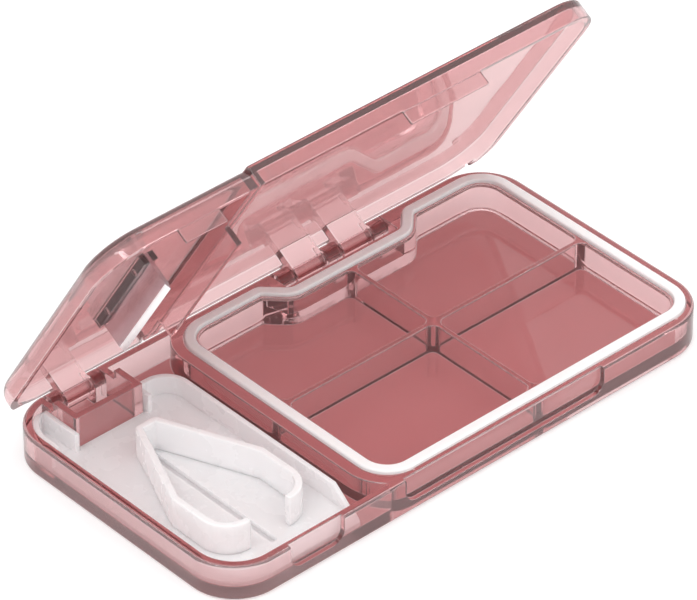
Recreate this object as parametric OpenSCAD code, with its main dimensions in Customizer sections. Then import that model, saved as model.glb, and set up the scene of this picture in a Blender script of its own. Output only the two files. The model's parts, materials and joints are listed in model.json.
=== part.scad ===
// Pocket pill splitter: a cutter bay and a sealed four-compartment pill box in
// one case, each under its own hinged lid.
// X runs along the case from the cutter end to the storage end, Y runs from the
// latch side to the hinge side, Z is up, and the case stands on Z = 0.

/* [Case] */
// Length of the case
case_length = 120; // [116:1:126]
// Depth of the case, without the hinge barrels
case_depth = 62.8; // [61:0.2:65]
// Height of the case rim above the underside
rim_height = 7.4; // [7:0.1:8]
// Outer corner radius of the case and the lid in plan
corner_radius = 10; // [9:0.5:11]
// Thickness of the outer wall
wall = 1.8; // [1.6:0.1:2]
// Thickness of the case floor
floor_thickness = 2.1; // [1.8:0.1:2.3]

/* [Storage] */
// Distance from the case centre to the cutter side of the gasket
seal_left = 21.6; // [21.4:0.1:21.8]
// Width of the gasket seen from above
seal_width = 2.2; // [2:0.1:2.4]
// Height of the gasket above the rim
seal_proud = 0.7; // [0.4:0.1:1]
// Thickness of the floor under the compartments
box_floor = 1.3; // [1.2:0.1:2]
// Thickness of the compartment dividers
divider_thickness = 1.2; // [1:0.1:1.6]
// Distance from the case centre to the short divider
short_divider_x = 17.6; // [15:0.1:20]

/* [Cutter] */
// Distance from the case centre to the blade
blade_x = 43; // [42.5:0.25:43.5]
// Length of the blade
blade_length = 25; // [23:1:25]
// Thickness of the blade
blade_thickness = 0.8; // [0.6:0.1:0.8]
// Height of the pill guide above the insert floor
guide_height = 6.5; // [5:0.5:6.5]
// Wall thickness of the pill guide
guide_wall = 1.4; // [1.2:0.1:1.6]
// Width of the open mouth of the pill guide
guide_mouth = 9; // [8:0.5:10]

/* [Lids] */
// Height of both lids from their lower edge to their top face
lid_height = 4.4; // [4.2:0.1:4.8]
// Thickness of the lid panels
lid_panel = 1.4; // [1.2:0.1:1.5]
// Angle of both lids from closed, as modelled
lid_open = 58.5; // [0:0.5:110]
// Edge rounding of the lid over the cutter
lid_edge_cutter = 3; // [2.5:0.1:3.2]
// Edge rounding of the lid over the storage
lid_edge_storage = 0.7; // [0.4:0.1:1]
// Width of the gap between the two lids
lid_split = 0.6; // [0.4:0.1:0.8]

/* [Hinge] */
// Radius of the hinge barrels
barrel_radius = 2; // [1.8:0.1:2]
// Radius of the hinge pins
pin_radius = 0.8; // [0.7:0.05:0.8]

/* [Hidden] */
$fn = 48;
gap = 0.3;
running_fit = 0.05;
over = 1;

half_length = case_length / 2;
half_depth = case_depth / 2;
pink = [0.86, 0.55, 0.56, 0.75];
white = [0.95, 0.94, 0.93];
steel = [0.75, 0.76, 0.78];

// Gasket, and the step in it that makes room for the storage hinge
seal_inset = 2;
seal_right = half_length - seal_inset;
seal_edge = half_depth - seal_inset;
seal_radius = 7;
seal_top = rim_height + seal_proud;
seal_lip = 0.6;
seat_depth = 1;
notch = [4.6, 32.4];
notch_depth = 4.5;
tub_wall = 2.6;
notch_wall = 1;

// Hinge axis, and the two rooms in the case that hold the hinges
hinge_y = half_depth - 1.6;
hinge_z = rim_height - 1.6;
cutter_room = [-50.4, -37.4];
room_margin = 0.4;
block_wall = 1.4;
block_front = 19.8;
block_top = rim_height + 2;
block_depth = 6.5;
block_sides = [cutter_room[0] - block_wall, cutter_room[1] + block_wall];
lug_storage = 3.6;
lug_cutter = 2.6;

// Insert in the cutter bay
insert_right = 27.1;
insert_back = 23;
insert_clearance = 0.2;
insert_wall = 1;
insert_floor = 1;
insert_top = floor_thickness + insert_floor;
insert_rise = rim_height - 0.4;
insert_radius = 5.5;
corner_wall_y = 18;
slot_length = 33;
slot_width = 1.4;
slot_front = -24;
slot_bottom = floor_thickness + 0.2;
wall_front = -half_depth + 4;
wall_front_slope = 6;

// Pill guide outline, measured from the blade
guide_apex = [2.4, 11];
guide_shoulder = [10.9, -9];
guide_front = -23;

// Lids, drawn closed
lid_bottom = rim_height + gap;
lid_top = lid_bottom + lid_height;
panel_z = lid_top - lid_panel;
lid_wall = 1.6;
split_x = -25;
cutter_end = split_x - lid_split / 2;
storage_end = split_x + lid_split / 2;
partition_wall = 1.2;
partition_y = [-16.5, 20];
partition_bottom = insert_top + 0.8;

// Lower edge of the lids at the back, which clears the rim as a lid swings
rim_reach = norm([half_depth - hinge_y, rim_height - hinge_z]) + gap;
back_edge_z = hinge_z + rim_reach;
back_edge_y = hinge_y - sqrt(pow(rim_reach, 2) - pow(lid_bottom - hinge_z, 2));

// Finger recesses in the front wall and the latch tongues that enter them
recess_depth = 1;
recess_bottom = 2.1;
recess_radius = 2.5;
storage_recess = [-18, 31];
cutter_recess = [-45.5, -33];
tongue_depth = recess_depth - gap;
storage_tongue = [9, 28];
cutter_tongue = [-44, -34.5];
tongue_bottom = rim_height - 2.6;

// Blade and its holder in the lid
blade_edge = insert_top - 0.5;
blade_spine = panel_z - 0.2;
blade_front = -16.6;
bevel_height = 1.3;
holder_bottom = rim_height + 1.2;
holder_wall = 1.2;
stake_radius = 0.6;
stake_z = (holder_bottom + blade_spine) / 2;
stakes = [blade_front + 5, blade_front + blade_length - 5];

// Plan outline of a box with round corners
module rounded_box(x0, x1, y0, y1, r) {
    translate([x0 + r, y0]) square([x1 - x0 - 2 * r, y1 - y0]);
    translate([x0, y0 + r]) square([x1 - x0, y1 - y0 - 2 * r]);
    for (x = [x0 + r, x1 - r], y = [y0 + r, y1 - r])
        translate([x, y]) circle(r);
}

// Plan shape raised from z0 to z1
module prism(z0, z1) {
    translate([0, 0, z0]) linear_extrude(z1 - z0) children();
}

// Y-Z section extruded along X between two stations
module along_x(x0, x1) {
    translate([x0, 0, 0]) rotate([90, 0, 90]) linear_extrude(x1 - x0) children();
}

// X-Z section extruded along Y between two stations
module along_y(y0, y1) {
    translate([0, y1, 0]) rotate([90, 0, 0]) linear_extrude(y1 - y0) children();
}

module block(x, y, z) {
    translate([x[0], y[0], z[0]]) cube([x[1] - x[0], y[1] - y[0], z[1] - z[0]]);
}

module on_axis(x, r) {
    translate([x[0], hinge_y, hinge_z]) rotate([0, 90, 0])
        cylinder(h = x[1] - x[0], r = r);
}

// Moves a piece of a lid from closed to the angle that it is modelled at
module swung() {
    translate([0, hinge_y, hinge_z]) rotate([-lid_open, 0, 0])
        translate([0, -hinge_y, -hinge_z]) children();
}

module case_outline(inset = 0) {
    rounded_box(-half_length + inset, half_length - inset,
                -half_depth + inset, half_depth - inset, corner_radius - inset);
}

// Plan outline of the gasket, moved inwards by inset
module seal_outline(inset) {
    offset(delta = -inset) offset(r = 2.5) offset(r = -5) offset(r = 2.5)
        difference() {
            rounded_box(-seal_left, seal_right, -seal_edge, seal_edge, seal_radius);
            polygon([[notch[0] - notch_depth - over, seal_edge + over],
                     [notch[0], seal_edge - notch_depth],
                     [notch[1], seal_edge - notch_depth],
                     [notch[1] + notch_depth + over, seal_edge + over]]);
        }
}

// Stretches of a hinge room that belong to the case, and those of a lid between
function lugs(room, w, count) = let (a = room[0] + room_margin, b = room[1] - room_margin)
    [for (i = [0 : count - 1]) let (c = a + i * (b - a - w) / (count - 1)) [c, c + w]];
function between(s) = [for (i = [0 : len(s) - 2]) [s[i][1] + gap, s[i + 1][0] - gap]];
storage_lugs = lugs(notch, lug_storage, 3);
cutter_lugs = lugs(cutter_room, lug_cutter, 2);
case_lugs = concat(storage_lugs, cutter_lugs);

module case_lug(s) {
    on_axis(s, barrel_radius);
    block(s, [hinge_y - barrel_radius + 0.05, half_depth], [floor_thickness - 0.5, hinge_z]);
}

// Bay for the cutter, which runs up to the wall of the storage tub
module bay_outline() {
    difference() {
        intersection() {
            case_outline(wall);
            translate([-half_length, -half_depth]) square([half_length - 10, case_depth]);
        }
        seal_outline(-tub_wall);
        translate([block_sides[0], block_front])
            square([block_sides[1] - block_sides[0], half_depth]);
    }
}

module compartment_outlines() {
    t = divider_thickness / 2;
    far = case_length;
    for (x = [[-far, short_divider_x - t], [short_divider_x + t, far]],
         y = [[-far, -t], [t, far]])
        offset(r = 1.5) offset(delta = -1.5)
            intersection() {
                seal_outline(seal_width + seal_lip);
                translate([x[0], y[0]]) square([x[1] - x[0], y[1] - y[0]]);
            }
}

module front_recess(x) {
    along_y(-half_depth - over, -half_depth + recess_depth)
        rounded_box(x[0], x[1], recess_bottom, rim_height + 2 * recess_radius,
                    recess_radius);
}

module base_shell() color(pink)
    difference() {
        union() {
            difference() {
                prism(0, rim_height) case_outline();
                prism(floor_thickness, rim_height + over) bay_outline();
                prism(box_floor, rim_height + over) compartment_outlines();
                prism(rim_height - seat_depth, rim_height + over)
                    difference() {
                        seal_outline(0);
                        seal_outline(seal_width);
                    }
                block(notch, [seal_edge - notch_depth + notch_wall, half_depth + over],
                      [floor_thickness, rim_height + over]);
                front_recess(storage_recess);
                front_recess(cutter_recess);
            }
            block(block_sides,
                  [block_front, block_front + block_depth],
                  [rim_height - over, block_top]);
        }
        block(cutter_room, [block_front + block_wall, half_depth + over],
              [floor_thickness, block_top + over]);
    }

module base_lugs() color(pink)
    difference() {
        for (s = case_lugs) case_lug(s);
        for (s = case_lugs)
            on_axis([s[0] - 0.1, s[1] + 0.1], pin_radius);
    }

module gasket() color(white)
    prism(rim_height - seat_depth, seal_top)
        difference() {
            seal_outline(0);
            seal_outline(seal_width);
        }

module insert_outline(inset = 0) {
    difference() {
        intersection() {
            case_outline(wall + insert_clearance + inset);
            union() {
                rounded_box(-half_length, -insert_right - inset,
                            -half_depth, insert_back - inset, insert_radius - inset);
                translate([-half_length, 0])
                    square([half_length + block_sides[0], insert_back + 5]);
            }
        }
        translate([block_sides[0] - insert_clearance - inset,
                   block_front - insert_clearance - inset])
            square([block_sides[1] - block_sides[0]
                    + 2 * (insert_clearance + inset), half_depth]);
    }
}

module cutter_insert() color(white)
    difference() {
        union() {
            prism(floor_thickness, insert_top) insert_outline();
            prism(floor_thickness, insert_rise)
                intersection() {
                    difference() {
                        insert_outline();
                        insert_outline(insert_wall);
                    }
                    union() {
                        translate([block_sides[1] + insert_clearance, wall_front])
                            square([half_length, case_depth]);
                        translate([-half_length, corner_wall_y])
                            square([half_length + block_sides[0] - insert_clearance,
                                    case_depth]);
                    }
                }
        }
        block([-blade_x - slot_width / 2, -blade_x + slot_width / 2],
              [slot_front, slot_front + slot_length], [slot_bottom, insert_top + over]);
        along_x(-half_length, -insert_right + over)
            polygon([[wall_front - over, insert_top], [wall_front, insert_top],
                     [wall_front + wall_front_slope, insert_rise + over],
                     [wall_front - over, insert_rise + over]]);
    }

module guide_outline(inset) {
    translate([-blade_x, 0]) offset(r = 1.2 - inset) offset(delta = -1.2)
        intersection() {
            polygon([[-guide_apex[0], guide_apex[1]], guide_apex,
                     guide_shoulder, [guide_shoulder[0], guide_front],
                     [-guide_shoulder[0], guide_front], [-guide_shoulder[0], guide_shoulder[1]]]);
            rounded_box(-guide_shoulder[0], guide_shoulder[0], guide_front,
                        guide_apex[1] + 10, 6);
        }
}

module pill_guide() color(white)
    prism(insert_top, insert_top + guide_height)
        difference() {
            guide_outline(0);
            guide_outline(guide_wall);
            translate([-blade_x - guide_mouth / 2, guide_front - over])
                square([guide_mouth, 5]);
        }

module cutter_hinge_pin() color(pink)
    on_axis([cutter_lugs[0][0], cutter_lugs[1][1]], pin_radius);

module storage_hinge_pin() color(pink)
    on_axis([storage_lugs[0][0], storage_lugs[2][1]], pin_radius);

// Section of a lid from its middle to one edge: w long, rounded by r at the top
module edge_section(w, r) {
    translate([0, lid_bottom]) square([w, lid_height - r]);
    translate([0, lid_bottom]) square([w - r, lid_height]);
    intersection() {
        translate([w - r, lid_top - r]) circle(r);
        translate([w - r, lid_top - r]) square(r);
    }
}

// Solid lid that runs from its split end, at inner, to the right end of the case
module lid_blank(inner, r) {
    straight = half_depth - corner_radius;
    end = half_length - corner_radius;
    along_x(inner, end) {
        edge_section(half_depth, r);
        mirror([1, 0]) edge_section(half_depth, r);
    }
    translate([end, 0, 0]) along_y(-straight, straight) edge_section(corner_radius, r);
    for (y = [-1, 1])
        translate([end, y * straight, 0])
            rotate_extrude(angle = 90, start = y > 0 ? 0 : -90, $fn = 64)
                edge_section(corner_radius, r);
}

// Hollow under a lid between two stations, and the raised lower edge at the back
module lid_hollow(x0, x1) {
    prism(lid_bottom - over, panel_z)
        intersection() {
            case_outline(lid_wall);
            translate([x0, -half_depth]) square([x1 - x0, case_depth]);
        }
    block([-case_length, case_length], [back_edge_y, half_depth + over],
          [lid_bottom - over, back_edge_z]);
}

module knuckle(s) {
    on_axis(s, barrel_radius);
    along_x(s[0], s[1])
        polygon([[hinge_y - barrel_radius + 0.05, hinge_z],
                 [half_depth, hinge_z],
                 [half_depth, lid_bottom + 0.8],
                 [half_depth - 1, panel_z + 0.2],
                 [hinge_y - barrel_radius + 0.05, panel_z + 0.2]]);
}

module knuckle_bore(s) {
    on_axis([s[0] - 0.1, s[1] + 0.1], pin_radius + running_fit);
}

module tongue(x) {
    block(x, [-half_depth, -half_depth + tongue_depth], [tongue_bottom, lid_bottom + over]);
}

module storage_lid() color(pink) swung()
    difference() {
        union() {
            difference() {
                lid_blank(storage_end, lid_edge_storage);
                lid_hollow(storage_end + lid_wall, half_length);
            }
            for (s = between(storage_lugs)) knuckle(s);
            tongue(storage_tongue);
        }
        for (s = between(storage_lugs)) knuckle_bore(s);
    }

module cutter_lid() color(pink) swung()
    difference() {
        union() {
            difference() {
                mirror([1, 0, 0]) lid_blank(-cutter_end, lid_edge_cutter);
                lid_hollow(-half_length, cutter_end - partition_wall);
            }
            block([cutter_end - partition_wall, cutter_end], partition_y,
                  [partition_bottom, panel_z + 0.2]);
            block([-blade_x - blade_thickness / 2 - holder_wall,
                   -blade_x - blade_thickness / 2],
                  [blade_front, blade_front + blade_length],
                  [holder_bottom, panel_z + 0.2]);
            for (s = between(cutter_lugs)) knuckle(s);
            tongue(cutter_tongue);
        }
        for (s = between(cutter_lugs)) knuckle_bore(s);
        for (y = stakes)
            translate([-blade_x, y, stake_z]) rotate([0, -90, 0])
                cylinder(h = 1.2, r = stake_radius);
    }

module blade() color(steel) swung()
    difference() {
        along_y(blade_front, blade_front + blade_length)
            translate([-blade_x, 0])
                polygon([[-blade_thickness / 2, blade_spine],
                         [-blade_thickness / 2, blade_edge + bevel_height],
                         [0, blade_edge],
                         [blade_thickness / 2, blade_edge + bevel_height],
                         [blade_thickness / 2, blade_spine]]);
        for (y = stakes)
            translate([-blade_x - 1, y, stake_z]) rotate([0, 90, 0])
                cylinder(h = 2, r = stake_radius);
    }

module blade_clamp() color(pink) swung() {
    block([-blade_x + blade_thickness / 2, -blade_x + blade_thickness / 2 + holder_wall],
          [blade_front, blade_front + blade_length], [holder_bottom, blade_spine]);
    for (y = stakes)
        translate([-blade_x + blade_thickness / 2 + 0.2, y, stake_z]) rotate([0, -90, 0])
            cylinder(h = blade_thickness + 1, r = stake_radius);
}

union() {
    base_shell();
    base_lugs();
}
gasket();
cutter_insert();
pill_guide();
cutter_hinge_pin();
storage_hinge_pin();
storage_lid();
cutter_lid();
blade();
blade_clamp();
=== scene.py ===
"""Looks of a clear pink pill splitter: a cutter bay and a sealed pill box under two hinged lids."""

import json
import math

import bmesh
import bpy
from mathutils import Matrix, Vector

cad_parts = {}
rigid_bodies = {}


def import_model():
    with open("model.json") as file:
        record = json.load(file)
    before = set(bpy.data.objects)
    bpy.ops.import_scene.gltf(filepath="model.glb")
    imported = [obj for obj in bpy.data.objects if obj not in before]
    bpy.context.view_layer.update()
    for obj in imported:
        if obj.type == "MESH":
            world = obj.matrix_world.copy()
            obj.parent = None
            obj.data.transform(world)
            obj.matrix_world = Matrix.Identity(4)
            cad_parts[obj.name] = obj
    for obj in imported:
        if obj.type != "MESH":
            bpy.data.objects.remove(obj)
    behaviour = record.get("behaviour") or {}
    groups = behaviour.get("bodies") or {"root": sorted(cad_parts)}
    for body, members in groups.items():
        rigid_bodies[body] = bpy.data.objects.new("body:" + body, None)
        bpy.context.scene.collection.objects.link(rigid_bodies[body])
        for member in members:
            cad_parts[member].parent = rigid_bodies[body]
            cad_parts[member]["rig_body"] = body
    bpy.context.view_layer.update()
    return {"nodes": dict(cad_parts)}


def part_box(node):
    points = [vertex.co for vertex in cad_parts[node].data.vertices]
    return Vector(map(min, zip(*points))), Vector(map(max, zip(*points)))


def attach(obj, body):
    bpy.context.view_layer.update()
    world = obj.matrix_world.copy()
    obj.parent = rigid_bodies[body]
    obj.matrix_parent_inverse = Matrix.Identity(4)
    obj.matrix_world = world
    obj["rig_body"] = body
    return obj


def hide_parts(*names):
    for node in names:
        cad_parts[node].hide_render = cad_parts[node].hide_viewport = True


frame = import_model()

MM = 0.001

# Case outline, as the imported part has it, and how near to it a point counts as on it
CASE_LOW, CASE_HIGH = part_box("base_shell")
HALF = Vector((CASE_HIGH.x - CASE_LOW.x, -2 * CASE_LOW.y)) / 2
CORNER = 10 * MM
RIM = 7.4 * MM
ON_FACE = 0.02 * MM

# Angles in degrees: facets within FLAT are one face, edges past SHARP are rounded, or past SQUARE
# on the case outline, the ring's crown and the blade, and shading breaks past CREASE
FLAT, SHARP, SQUARE, CREASE = 1, 50, 60, 38

# Widths of the rounded edges
BOTTOM_EDGE = 0.5 * MM
RIM_EDGE = 0.6 * MM
TUB_EDGE = 0.25 * MM
INNER_EDGE = 0.12 * MM
TRAY_EDGE = 0.15 * MM
GUIDE_EDGE = 0.3 * MM
RIGHT_LID_EDGE = 0.25 * MM
LEFT_LID_EDGE = 0.15 * MM
CLAMP_EDGE = 0.1 * MM
PIN_EDGE = 0.15 * MM
BLADE_EDGE = 0.04 * MM
CROWN_EDGE = 0.4 * MM

# Tops of the pill box walls: from this far left of the ring, and this far in from the back
TUB_LEFT_MARGIN = 3 * MM
TUB_BACK_MARGIN = 2 * MM

# How far the whole surface of the ring is drawn in, in millimetres
RING_SHRINK = 0.03

# How far sideways the normals of the blade's ground faces point
GROUND_LEAST, GROUND_MOST = 0.9, 0.995

# How pale the plastic looks, from 0 for the case floor to 1 for its thin inner walls
OUTER_WALL, LID_PANEL, LID_WALL = 0.70, 0.38, 0.75

# Camera
AZIMUTH, ELEVATION = -42.243, 36.889
LENS, SENSOR = 291.6, 36.0
DISTANCE = 1.0358
TARGET = Vector((4.7, 9.1, 13.7)) * MM

# Floor: half its width and its depth under the case in metres, and its cells
FLOOR_HALF = 3.0
FLOOR_DROP = 0.3 * MM
FLOOR_CELLS = 24

# Surroundings: strength at the horizon and above, and the height where the second is reached
GLOW_LOW, GLOW_HIGH = 0.84, 0.93
GLOW_HEIGHT = 0.55

# Lamps: azimuth, elevation, distance in metres, width and height in metres, watts
LAMPS = {
    "key": (-75, 55, 0.9, (0.5, 0.14), 1.6),
    "back": (120, 55, 0.9, (0.6, 0.12), 0.8),
    "fill": (15, 50, 1.1, (0.5, 0.5), 0.8),
}


def direction(azimuth, elevation):
    """Unit vector from the object towards that azimuth and elevation, in degrees."""
    a, e = math.radians(azimuth), math.radians(elevation)
    return Vector((math.sin(a) * math.cos(e), -math.cos(a) * math.cos(e), math.sin(e)))


def aim(obj, azimuth, elevation, distance):
    """Puts a camera or a lamp that far from the target, looking at it."""
    back = direction(azimuth, elevation)
    obj.rotation_mode = "QUATERNION"
    obj.location = TARGET + back * distance
    obj.rotation_quaternion = (-back).to_track_quat("-Z", "Y")
    bpy.context.scene.collection.objects.link(obj)


def make_camera():
    """The camera, placed by a fit to the photo."""
    data = bpy.data.cameras.new("camera")
    data.lens, data.sensor_width = LENS, SENSOR
    data.clip_start, data.clip_end = 0.01, 20
    camera = bpy.data.objects.new("camera", data)
    aim(camera, AZIMUTH, ELEVATION, DISTANCE)
    bpy.context.scene.camera = camera


# Materials


class Nodes:
    """A material's node tree, and short ways to add to it."""

    def __init__(self, name):
        self.material = bpy.data.materials.new(name)
        self.material.use_nodes = True
        self.tree = self.material.node_tree
        self.shader = self.tree.nodes["Principled BSDF"]
        self.place = self.add("ShaderNodeTexCoord").outputs["Object"]

    def add(self, kind, **values):
        node = self.tree.nodes.new(kind)
        for key, value in values.items():
            if key in node.inputs:
                node.inputs[key].default_value = value
            else:
                setattr(node, key, value)
        return node

    def link(self, source, target):
        self.tree.links.new(source, target)

    def noise(self, size, detail=3.0, stretch=(1, 1, 1), **values):
        """Noise whose features are that long in metres, before the stretch."""
        mapping = self.add("ShaderNodeMapping")
        mapping.inputs["Scale"].default_value = stretch
        self.link(self.place, mapping.inputs["Vector"])
        node = self.add("ShaderNodeTexNoise", Scale=1 / size, Detail=detail, **values)
        self.link(mapping.outputs[0], node.inputs["Vector"])
        return node.outputs["Fac"]

    def ramp(self, source, low, high, out_low, out_high):
        """source, taken from low..high to out_low..out_high and held there."""
        node = self.add("ShaderNodeMapRange", clamp=True)
        for name, value in zip(("From Min", "From Max", "To Min", "To Max"),
                               (low, high, out_low, out_high)):
            node.inputs[name].default_value = value
        self.link(source, node.inputs["Value"])
        return node.outputs["Result"]

    def math(self, operation, a, b):
        node = self.add("ShaderNodeMath", operation=operation)
        for socket, value in zip(node.inputs, (a, b)):
            if isinstance(value, (int, float)):
                socket.default_value = value
            else:
                self.link(value, socket)
        return node.outputs[0]

    def mix(self, factor, a, b):
        """Colour between a and b."""
        node = self.add("ShaderNodeMix", data_type="RGBA")
        self.link(factor, node.inputs["Factor"])
        for name, value in (("A", a), ("B", b)):
            socket = [s for s in node.inputs if s.name == name and s.type == "RGBA"][0]
            if isinstance(value, tuple):
                socket.default_value = (*value, 1)
            else:
                self.link(value, socket)
        return [s for s in node.outputs if s.type == "RGBA"][0]

    def attribute(self, name):
        return self.add("ShaderNodeAttribute", attribute_name=name).outputs["Fac"]

    def bump(self, height, distance, strength=1.0, below=None):
        node = self.add("ShaderNodeBump", Strength=strength, Distance=distance)
        self.link(height, node.inputs["Height"])
        if below is not None:
            self.link(below, node.inputs["Normal"])
        return node.outputs["Normal"]

    def set(self, **values):
        """Sets or links the shader's own sockets, named with _ for a space."""
        for key, value in values.items():
            socket = self.shader.inputs[key.replace("_", " ")]
            if isinstance(value, bpy.types.NodeSocket):
                self.link(value, socket)
            else:
                socket.default_value = value


def clear_pink():
    """Polished transparent plastic, tinted pink, with faint handling marks, and a near-white tint
    on its rounded edges that is painted highlight as well as wear.
    """
    m = Nodes("clear_pink")
    edge_highlight_and_wear = m.attribute("edge_highlight_and_wear")
    cloud = m.noise(22 * MM, 2)
    tint = m.mix(m.ramp(cloud, 0.3, 0.7, 0, 1),
                 (0.575, 0.165, 0.17), (0.605, 0.19, 0.195))
    tint = m.mix(m.attribute("thin"), tint, (0.96, 0.79, 0.795))
    # Rounded edges are tinted near white: a painted highlight along the edges, partly wear
    tint = m.mix(m.math("MULTIPLY", edge_highlight_and_wear, 0.85), tint, (1.0, 0.94, 0.94))
    smudge = m.ramp(m.noise(9 * MM, 5), 0.52, 0.75, 0, 0.07)
    scuff = m.ramp(m.noise(3 * MM, 4, (1, 6, 1)), 0.66, 0.72, 0, 0.10)
    rough = m.math("ADD", m.math("ADD", smudge, scuff), 0.02)
    flow = m.bump(m.noise(16 * MM, 1), 0.25 * MM, 0.35)
    peel = m.bump(m.noise(1.6 * MM, 2), 0.01 * MM, 0.35, flow)
    m.set(Base_Color=tint, Roughness=rough, Normal=peel, IOR=1.49, Transmission_Weight=0.90,
          Specular_IOR_Level=0.5)
    depth = m.add("ShaderNodeVolumeAbsorption", Color=(0.90, 0.16, 0.19, 1), Density=30)
    m.link(depth.outputs[0], m.tree.nodes["Material Output"].inputs["Volume"])
    return m.material


def silicone():
    """Soft white sealing ring, satin, with a little dust."""
    m = Nodes("silicone")
    dust = m.ramp(m.noise(2.5 * MM, 6), 0.55, 0.75, 0, 1)
    tint = m.mix(dust, (0.975, 0.97, 0.965), (0.93, 0.92, 0.915))
    rough = m.ramp(m.noise(4 * MM, 4), 0.3, 0.7, 0.34, 0.52)
    grain = m.bump(m.noise(0.35 * MM, 3), 0.02 * MM, 0.4)
    wave = m.bump(m.noise(12 * MM, 1), 0.12 * MM, 0.4, grain)
    m.set(Base_Color=tint, Roughness=rough, Normal=wave, Subsurface_Weight=0.25,
          Subsurface_Scale=1.2 * MM, Subsurface_Radius=(1, 0.85, 0.8))
    return m.material


def milky_plastic():
    """Milky white moulded tray plastic, lightly glossy."""
    m = Nodes("milky_plastic")
    cloud = m.ramp(m.noise(14 * MM, 3), 0.3, 0.7, 0, 1)
    tint = m.mix(cloud, (0.935, 0.92, 0.93), (0.965, 0.955, 0.965))
    scuff = m.ramp(m.noise(2.2 * MM, 5, (5, 1, 1)), 0.62, 0.80, 0, 0.10)
    rough = m.math("ADD", m.ramp(m.noise(6 * MM, 3), 0.3, 0.7, 0.20, 0.34), scuff)
    flow = m.bump(m.noise(10 * MM, 2), 0.12 * MM, 0.4)
    grain = m.bump(m.noise(0.5 * MM, 2), 0.012 * MM, 0.4, flow)
    m.set(Base_Color=tint, Roughness=rough, Normal=grain, Subsurface_Weight=0.6,
          Subsurface_Scale=2.5 * MM, Subsurface_Radius=(1, 0.9, 0.9), IOR=1.46)
    return m.material


def blade_steel():
    """Polished blade steel with grinding lines on its ground edge."""
    m = Nodes("blade_steel")
    ground = m.attribute("ground")
    line = m.noise(0.18 * MM, 4, (1, 1, 0.04))
    cloud = m.noise(7 * MM, 3)
    tint = m.mix(m.ramp(cloud, 0.3, 0.7, 0, 1),
                 (0.47, 0.39, 0.405), (0.54, 0.455, 0.47))
    tint = m.mix(ground, tint, (0.95, 0.95, 0.96))
    rough = m.ramp(line, 0.3, 0.7, 0.10, 0.20)
    rough = m.math("ADD", rough, m.math("MULTIPLY", ground, 0.16))
    lines = m.bump(line, 0.004 * MM, 0.6)
    m.set(Base_Color=tint, Roughness=rough, Normal=lines, Metallic=1.0)
    return m.material


def pale_floor():
    """Matt white paper sweep."""
    m = Nodes("pale_floor")
    fibre = m.noise(0.8 * MM, 4)
    tint = m.mix(m.ramp(fibre, 0.3, 0.7, 0, 1), (0.70, 0.70, 0.70), (0.72, 0.72, 0.72))
    m.set(Base_Color=tint, Roughness=0.8, Normal=m.bump(fibre, 0.02 * MM, 0.2),
          Emission_Color=(1, 1, 1, 1), Emission_Strength=0.40)
    return m.material


# Pieces


def merged(node):
    """The node's mesh with its facets joined back into whole faces."""
    bm = bmesh.new()
    bm.from_mesh(frame["nodes"][node].data)
    bmesh.ops.remove_doubles(bm, verts=bm.verts, dist=0.002 * MM)
    bmesh.ops.dissolve_limit(bm, angle_limit=math.radians(FLAT),
                             use_dissolve_boundaries=False,
                             verts=bm.verts, edges=bm.edges)
    bm.normal_update()
    return bm


def mark_thin(bm, panel, wall):
    """Marks how pale the plastic is, on faces along the piece's main face and upright on it."""
    layer = bm.faces.layers.float.new("thin")
    main = max(bm.faces, key=lambda face: face.calc_area()).normal
    for face in bm.faces:
        face[layer] = wall if abs(face.normal.dot(main)) < 0.5 else panel
    return layer


def sharp(bm, angle):
    """Edges where the faces turn by more than that angle, in degrees."""
    limit = math.radians(angle)
    return [e for e in bm.edges if e.is_manifold and e.calc_face_angle() > limit]


def round_edges(bm, edges, width, segments, edge_highlight_and_wear=True):
    """Rounds those edges, and marks the new faces for a near-white tint that is painted edge
    highlight as well as wear.
    """
    layer = bm.faces.layers.float.get("edge_highlight_and_wear") or bm.faces.layers.float.new("edge_highlight_and_wear")
    made = bmesh.ops.bevel(bm, geom=edges, offset=width, offset_type="OFFSET",
                           segments=segments, profile=0.5, affect="EDGES",
                           clamp_overlap=False, loop_slide=False, material=-1)
    for face in made["faces"]:
        face[layer] = 1.0 if edge_highlight_and_wear else 0.0


def off_outline(co):
    """How far a point lies outside the plan outline of the case."""
    x, y = abs(co.x) - HALF.x + CORNER, abs(co.y) - HALF.y + CORNER
    return math.hypot(max(x, 0), max(y, 0)) + min(max(x, y), 0) - CORNER


def outline_edges(bm, height):
    """Edges of the case outline at that height."""
    return [e for e in sharp(bm, SQUARE)
            if all(abs(v.co.z - height) < ON_FACE and abs(off_outline(v.co)) < ON_FACE
                   for v in e.verts)]


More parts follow.
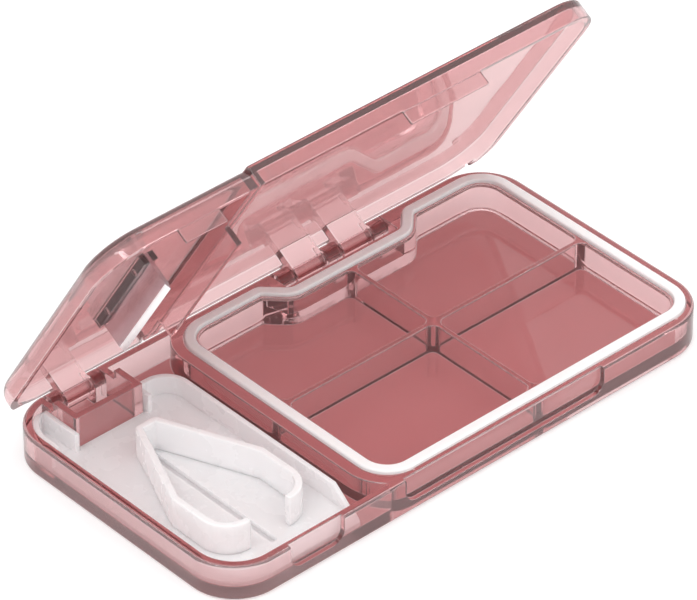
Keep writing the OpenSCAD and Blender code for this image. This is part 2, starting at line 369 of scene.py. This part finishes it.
def finish_piece(bm, name, node, material):
    """Makes the piece, which stands for the CAD node and rides on its body."""
    mesh = bpy.data.meshes.new(name)
    bm.to_mesh(mesh)
    bm.free()
    mesh.materials.append(material)
    mesh.shade_smooth()
    mesh.set_sharp_from_angle(angle=math.radians(CREASE))
    obj = bpy.data.objects.new(name, mesh)
    bpy.context.scene.collection.objects.link(obj)
    normals = obj.modifiers.new("flat_faces", "WEIGHTED_NORMAL")
    normals.keep_sharp = True
    normals.weight = 80
    body = frame["nodes"][node]["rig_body"]
    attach(obj, body)
    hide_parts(node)


def case_bottom(material):
    """The case, whose outline, rim and pill box walls are rounded more than the rest."""
    bm = merged("base_shell")
    thin = mark_thin(bm, 0.0, 1.0)
    for face in bm.faces:
        if all(abs(off_outline(v.co)) < ON_FACE for v in face.verts):
            face[thin] = OUTER_WALL
    # The bottom edge is left without the painted edge highlight
    round_edges(bm, outline_edges(bm, 0), BOTTOM_EDGE, 4, edge_highlight_and_wear=False)
    round_edges(bm, outline_edges(bm, RIM), RIM_EDGE, 4)
    tub_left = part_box("gasket")[0].x - TUB_LEFT_MARGIN
    tub_back = HALF.y - TUB_BACK_MARGIN
    tub_tops = [e for e in sharp(bm, SHARP)
                if all(abs(v.co.z - RIM) < ON_FACE and v.co.x > tub_left
                       and abs(v.co.y) < tub_back for v in e.verts)]
    round_edges(bm, tub_tops, TUB_EDGE, 3)
    round_edges(bm, sharp(bm, SHARP), INNER_EDGE, 2)
    finish_piece(bm, "case_bottom", "base_shell", material)


def moulded(name, node, material, width, panel=1.0, wall=1.0):
    """A moulded piece with all its sharp edges rounded alike."""
    bm = merged(node)
    mark_thin(bm, panel, wall)
    round_edges(bm, sharp(bm, SHARP), width, 2)
    finish_piece(bm, name, node, material)


def seal_ring(material):
    """The ring, drawn in a hair from its seat, with a rounded crown."""
    bm = merged("gasket")
    for v in bm.verts:
        v.co -= v.normal * RING_SHRINK * MM
    top = max(v.co.z for v in bm.verts)
    crown = [e for e in sharp(bm, SQUARE) if all(v.co.z > top - ON_FACE for v in e.verts)]
    round_edges(bm, crown, CROWN_EDGE, 4)
    finish_piece(bm, "seal_ring", "gasket", material)


def cutting_blade(material):
    """The blade, with its ground faces marked."""
    bm = merged("blade")
    ground = bm.faces.layers.float.new("ground")
    round_edges(bm, sharp(bm, SQUARE), BLADE_EDGE, 1)
    for face in bm.faces:
        face[ground] = 1.0 if GROUND_LEAST < abs(face.normal.x) < GROUND_MOST else 0.0
    finish_piece(bm, "cutting_blade", "blade", material)


def make_floor():
    """The paper that the case stands on."""
    bm = bmesh.new()
    bmesh.ops.create_grid(bm, x_segments=FLOOR_CELLS, y_segments=FLOOR_CELLS, size=FLOOR_HALF)
    mesh = bpy.data.meshes.new("floor")
    bm.to_mesh(mesh)
    bm.free()
    mesh.materials.append(pale_floor())
    floor = bpy.data.objects.new("floor", mesh)
    floor.location.z = -FLOOR_DROP
    bpy.context.scene.collection.objects.link(floor)


def make_lamp(name, azimuth, elevation, distance, size, power):
    """A soft rectangular lamp that shines at the target."""
    data = bpy.data.lights.new(name, "AREA")
    data.shape = "RECTANGLE"
    data.size, data.size_y = size
    data.energy = power
    aim(bpy.data.objects.new(name, data), azimuth, elevation, distance)


def make_light():
    """White surroundings that are a little darker near the horizon, and three soft lamps."""
    world = bpy.data.worlds.new("studio")
    world.use_nodes = True
    tree = world.node_tree
    place = tree.nodes.new("ShaderNodeTexCoord")
    split = tree.nodes.new("ShaderNodeSeparateXYZ")
    level = tree.nodes.new("ShaderNodeMapRange")
    for name, value in (("From Min", 0.0), ("From Max", GLOW_HEIGHT),
                        ("To Min", GLOW_LOW), ("To Max", GLOW_HIGH)):
        level.inputs[name].default_value = value
    tree.links.new(place.outputs["Generated"], split.inputs[0])
    tree.links.new(split.outputs["Z"], level.inputs["Value"])
    tree.links.new(level.outputs[0], tree.nodes["Background"].inputs["Strength"])
    tree.nodes["Background"].inputs["Color"].default_value = (1, 1, 1, 1)
    bpy.context.scene.world = world
    for name, values in LAMPS.items():
        make_lamp(name, *values)


def set_view():
    """Plain colours, and enough bounces for light to pass all the clear walls."""
    settings = bpy.context.scene.view_settings
    settings.view_transform = "Standard"
    settings.look = "None"
    cycles = bpy.context.scene.cycles
    cycles.max_bounces = 24
    cycles.transmission_bounces = 20
    cycles.use_denoising = True


make_camera()
make_floor()
make_light()
set_view()
pink, rubber, milky, steel = clear_pink(), silicone(), milky_plastic(), blade_steel()
case_bottom(pink)
seal_ring(rubber)
moulded("tray", "cutter_insert", milky, TRAY_EDGE)
moulded("tablet_guide", "pill_guide", milky, GUIDE_EDGE)
moulded("right_lid", "storage_lid", pink, RIGHT_LID_EDGE, LID_PANEL, LID_WALL)
moulded("left_lid", "cutter_lid", pink, LEFT_LID_EDGE, LID_PANEL, LID_WALL)
moulded("holder_clamp", "blade_clamp", pink, CLAMP_EDGE)
moulded("right_pin", "storage_hinge_pin", pink, PIN_EDGE)
moulded("left_pin", "cutter_hinge_pin", pink, PIN_EDGE)
cutting_blade(steel)
